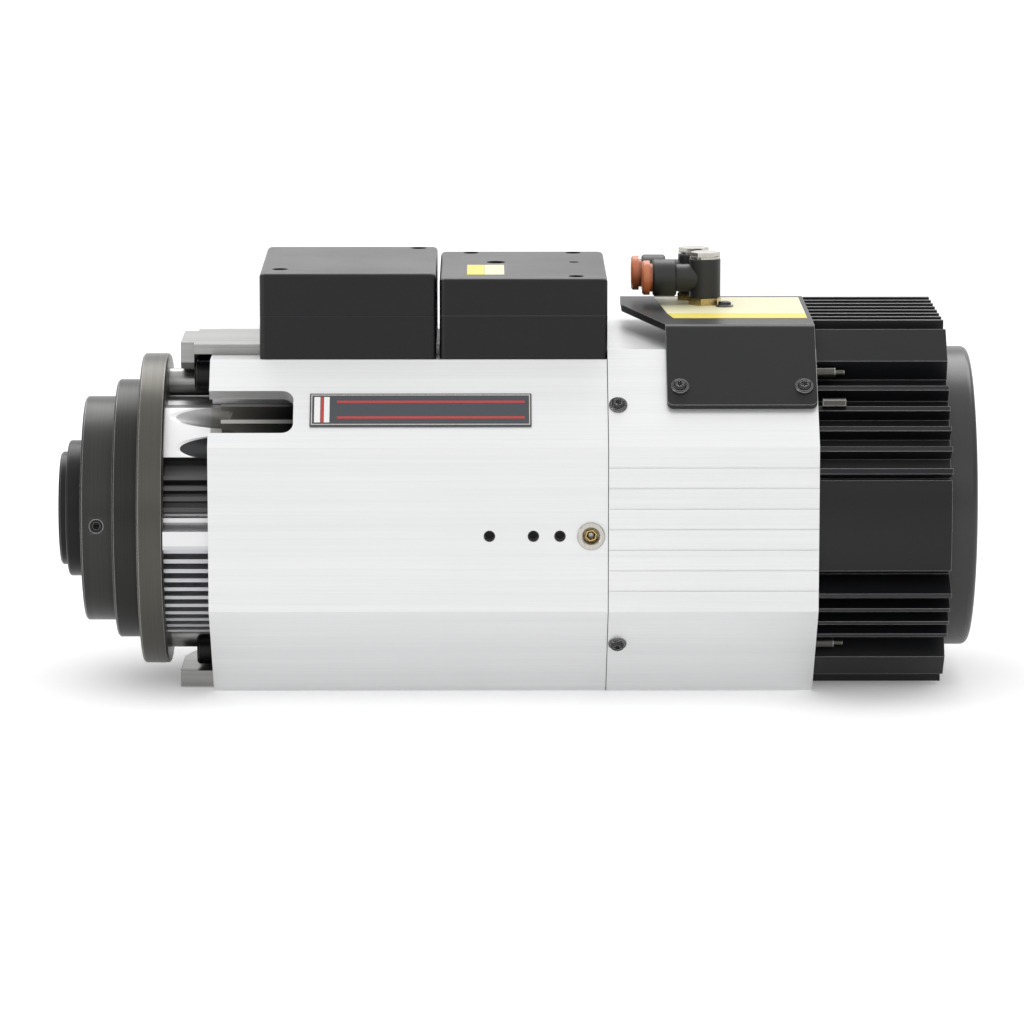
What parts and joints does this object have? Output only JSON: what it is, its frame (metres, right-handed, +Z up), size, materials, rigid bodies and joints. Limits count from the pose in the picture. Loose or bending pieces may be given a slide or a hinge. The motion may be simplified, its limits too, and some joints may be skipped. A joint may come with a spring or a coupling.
{
  "type": "motor spindle",
  "caption": "Air-cooled machine-tool motor spindle with a stepped tool nose, chamfered extruded body, connection boxes, elbow air fittings and a finned fan cowl.",
  "frame": {"origin": "centre of the spindle nose face, on the axis of rotation", "axes": "+X back along the spindle axis from the nose to the fan, +Z up, +Y towards the mounting face with the T-slots"},
  "size_m": [0.4, 0.1532, 0.1856],
  "materials": {
    "extruded_aluminium": "bright extruded, fine lengthwise lines",
    "cast_aluminium": "cast and machined",
    "rail_steel": "ground",
    "black_steel": "black oxide, satin",
    "shaft_steel": "ground and blackened at the nose",
    "gunmetal_steel": "turned, satin",
    "flange_steel": "turned",
    "bearing_steel": "ground and polished",
    "tool_steel": "hardened",
    "lamination": "stacked sheet",
    "winding": "lacquered wire",
    "piston_aluminium": "turned",
    "seal_rubber": "smooth",
    "black_cowl": "satin black",
    "post_steel": "plain",
    "fan_plastic": "moulded",
    "box_plastic": "fine grain",
    "terminal_plastic": "moulded",
    "board": "lacquered board",
    "gland_plastic": "moulded",
    "plate_enamel": "dark enamel with plain red lines",
    "bracket_paint": "fine powder coat",
    "fitting_brass": "turned",
    "fitting_nickel": "nickel plated",
    "fitting_plastic": "moulded",
    "ring_plastic": "orange moulded"
  },
  "bodies": {
    "spindle_body": {"nose_cover": "gunmetal_steel", "set_screws": "black_steel", "nose_screws": "black_steel", "bearing_retainer": "gunmetal_steel", "front_flange": "flange_steel", "bearing_outer_rings": "bearing_steel", "motor_jacket": "cast_aluminium", "stator_core": "lamination", "stator_windings": "winding", "spacer_columns": "rail_steel", "front_housing": "extruded_aluminium", "housing_bolts": "black_steel", "top_rail": "rail_steel", "base_rail": "rail_steel", "air_port": "fitting_nickel", "rear_housing": "extruded_aluminium", "rear_bearing_carrier": "cast_aluminium", "release_cylinder": "cast_aluminium", "cylinder_cover": "cast_aluminium", "fan_cowl": "black_cowl", "cowl_posts": "post_steel", "fan_motor": "fan_plastic", "fan_guard": "black_cowl", "power_box_base": "box_plastic", "power_box_lid": "box_plastic", "signal_box_base": "box_plastic", "signal_box_lid": "box_plastic", "lid_screws": "black_steel", "terminal_block": "terminal_plastic", "signal_board": "board", "cable_glands": "gland_plastic", "name_plate": "plate_enamel", "fitting_bracket": "bracket_paint", "pan_screws": "black_steel", "bracket_spacers": "post_steel", "fitting_stems": "fitting_brass", "fitting_caps": "fitting_nickel"},
    "spindle_shaft": {"shaft": "shaft_steel", "labyrinth_ring": "black_steel", "rotor_core": "lamination", "bearing_inner_rings": "bearing_steel", "shaft_locknut": "shaft_steel", "disc_springs": "tool_steel"},
    "front_balls": {"front_ball_set": "bearing_steel"},
    "rear_balls": {"rear_ball_set": "bearing_steel"},
    "clamp_drawbar": {"drawbar": "tool_steel"},
    "release_piston_body": {"release_piston": "piston_aluminium", "piston_seal": "seal_rubber"},
    "fan_wheel": {"fan_impeller": "fan_plastic"},
    "near_elbow": {"elbow_near": "fitting_plastic"},
    "far_elbow": {"elbow_far": "fitting_plastic"},
    "near_ring": {"release_ring_near": "ring_plastic"},
    "far_ring": {"release_ring_far": "ring_plastic"},
    "finger_1": {"gripper_finger_1": "tool_steel"},
    "finger_2": {"gripper_finger_2": "tool_steel"},
    "finger_3": {"gripper_finger_3": "tool_steel"},
    "finger_4": {"gripper_finger_4": "tool_steel"}
  },
  "joints": [
    {"name": "spindle_spin", "type": "hinge", "parent": "spindle_body", "child": "spindle_shaft", "pos_m": [0, 0, 0], "axis": [1, 0, 0], "continuous": true},
    {"name": "front_balls_spin", "type": "hinge", "parent": "spindle_body", "child": "front_balls", "pos_m": [0.06, 0, 0], "axis": [1, 0, 0], "continuous": true},
    {"name": "rear_balls_spin", "type": "hinge", "parent": "spindle_body", "child": "rear_balls", "pos_m": [0.2493, 0, 0], "axis": [1, 0, 0], "continuous": true},
    {"name": "release_piston_slide", "type": "slide", "parent": "spindle_body", "child": "release_piston_body", "axis": [-1, 0, 0], "range_m": [0, 0.008]},
    {"name": "drawbar_slide", "type": "slide", "parent": "spindle_shaft", "child": "clamp_drawbar", "axis": [-1, 0, 0], "range_m": [0, 0.008], "stiffness_N_per_m": 4000, "springref_m": -0.002, "deforming": ["disc_springs"]},
    {"name": "fan_spin", "type": "hinge", "parent": "spindle_body", "child": "fan_wheel", "pos_m": [0.36, 0, 0.0055], "axis": [1, 0, 0], "continuous": true},
    {"name": "near_elbow_swivel", "type": "hinge", "parent": "spindle_body", "child": "near_elbow", "pos_m": [0.2854, 0.036, 0.098], "axis": [0, 0, 1], "range_deg": [0, 100]},
    {"name": "far_elbow_swivel", "type": "hinge", "parent": "spindle_body", "child": "far_elbow", "pos_m": [0.281, 0.054, 0.098], "axis": [0, 0, 1], "range_deg": [-100, 0]},
    {"name": "near_ring_push", "type": "slide", "parent": "near_elbow", "child": "near_ring", "axis": [1, 0, 0], "range_m": [0, 0.0012], "stiffness_N_per_m": 500},
    {"name": "far_ring_push", "type": "slide", "parent": "far_elbow", "child": "far_ring", "axis": [1, 0, 0], "range_m": [0, 0.0012], "stiffness_N_per_m": 500},
    {"name": "finger_1_hinge", "type": "hinge", "parent": "clamp_drawbar", "child": "finger_1", "pos_m": [0.078, 0, 0.0088], "axis": [0, 1, 0], "range_deg": [0, 5.5]},
    {"name": "finger_2_hinge", "type": "hinge", "parent": "clamp_drawbar", "child": "finger_2", "pos_m": [0.078, -0.0088, 0], "axis": [0, 0, 1], "range_deg": [0, 5.5]},
    {"name": "finger_3_hinge", "type": "hinge", "parent": "clamp_drawbar", "child": "finger_3", "pos_m": [0.078, 0, -0.0088], "axis": [0, -1, 0], "range_deg": [0, 5.5]},
    {"name": "finger_4_hinge", "type": "hinge", "parent": "clamp_drawbar", "child": "finger_4", "pos_m": [0.078, 0.0088, 0], "axis": [0, 0, -1], "range_deg": [0, 5.5]}
  ],
  "couplings": [
    {"joint": "front_balls_spin", "follows": "spindle_spin", "ratio": 0.42},
    {"joint": "rear_balls_spin", "follows": "spindle_spin", "ratio": 0.42},
    {"joint": "drawbar_slide", "follows": "release_piston_slide", "ratio": 1},
    {"joint": "finger_1_hinge", "follows": "release_piston_slide", "rad_per_m": 11.9},
    {"joint": "finger_2_hinge", "follows": "release_piston_slide", "rad_per_m": 11.9},
    {"joint": "finger_3_hinge", "follows": "release_piston_slide", "rad_per_m": 11.9},
    {"joint": "finger_4_hinge", "follows": "release_piston_slide", "rad_per_m": 11.9}
  ]
}
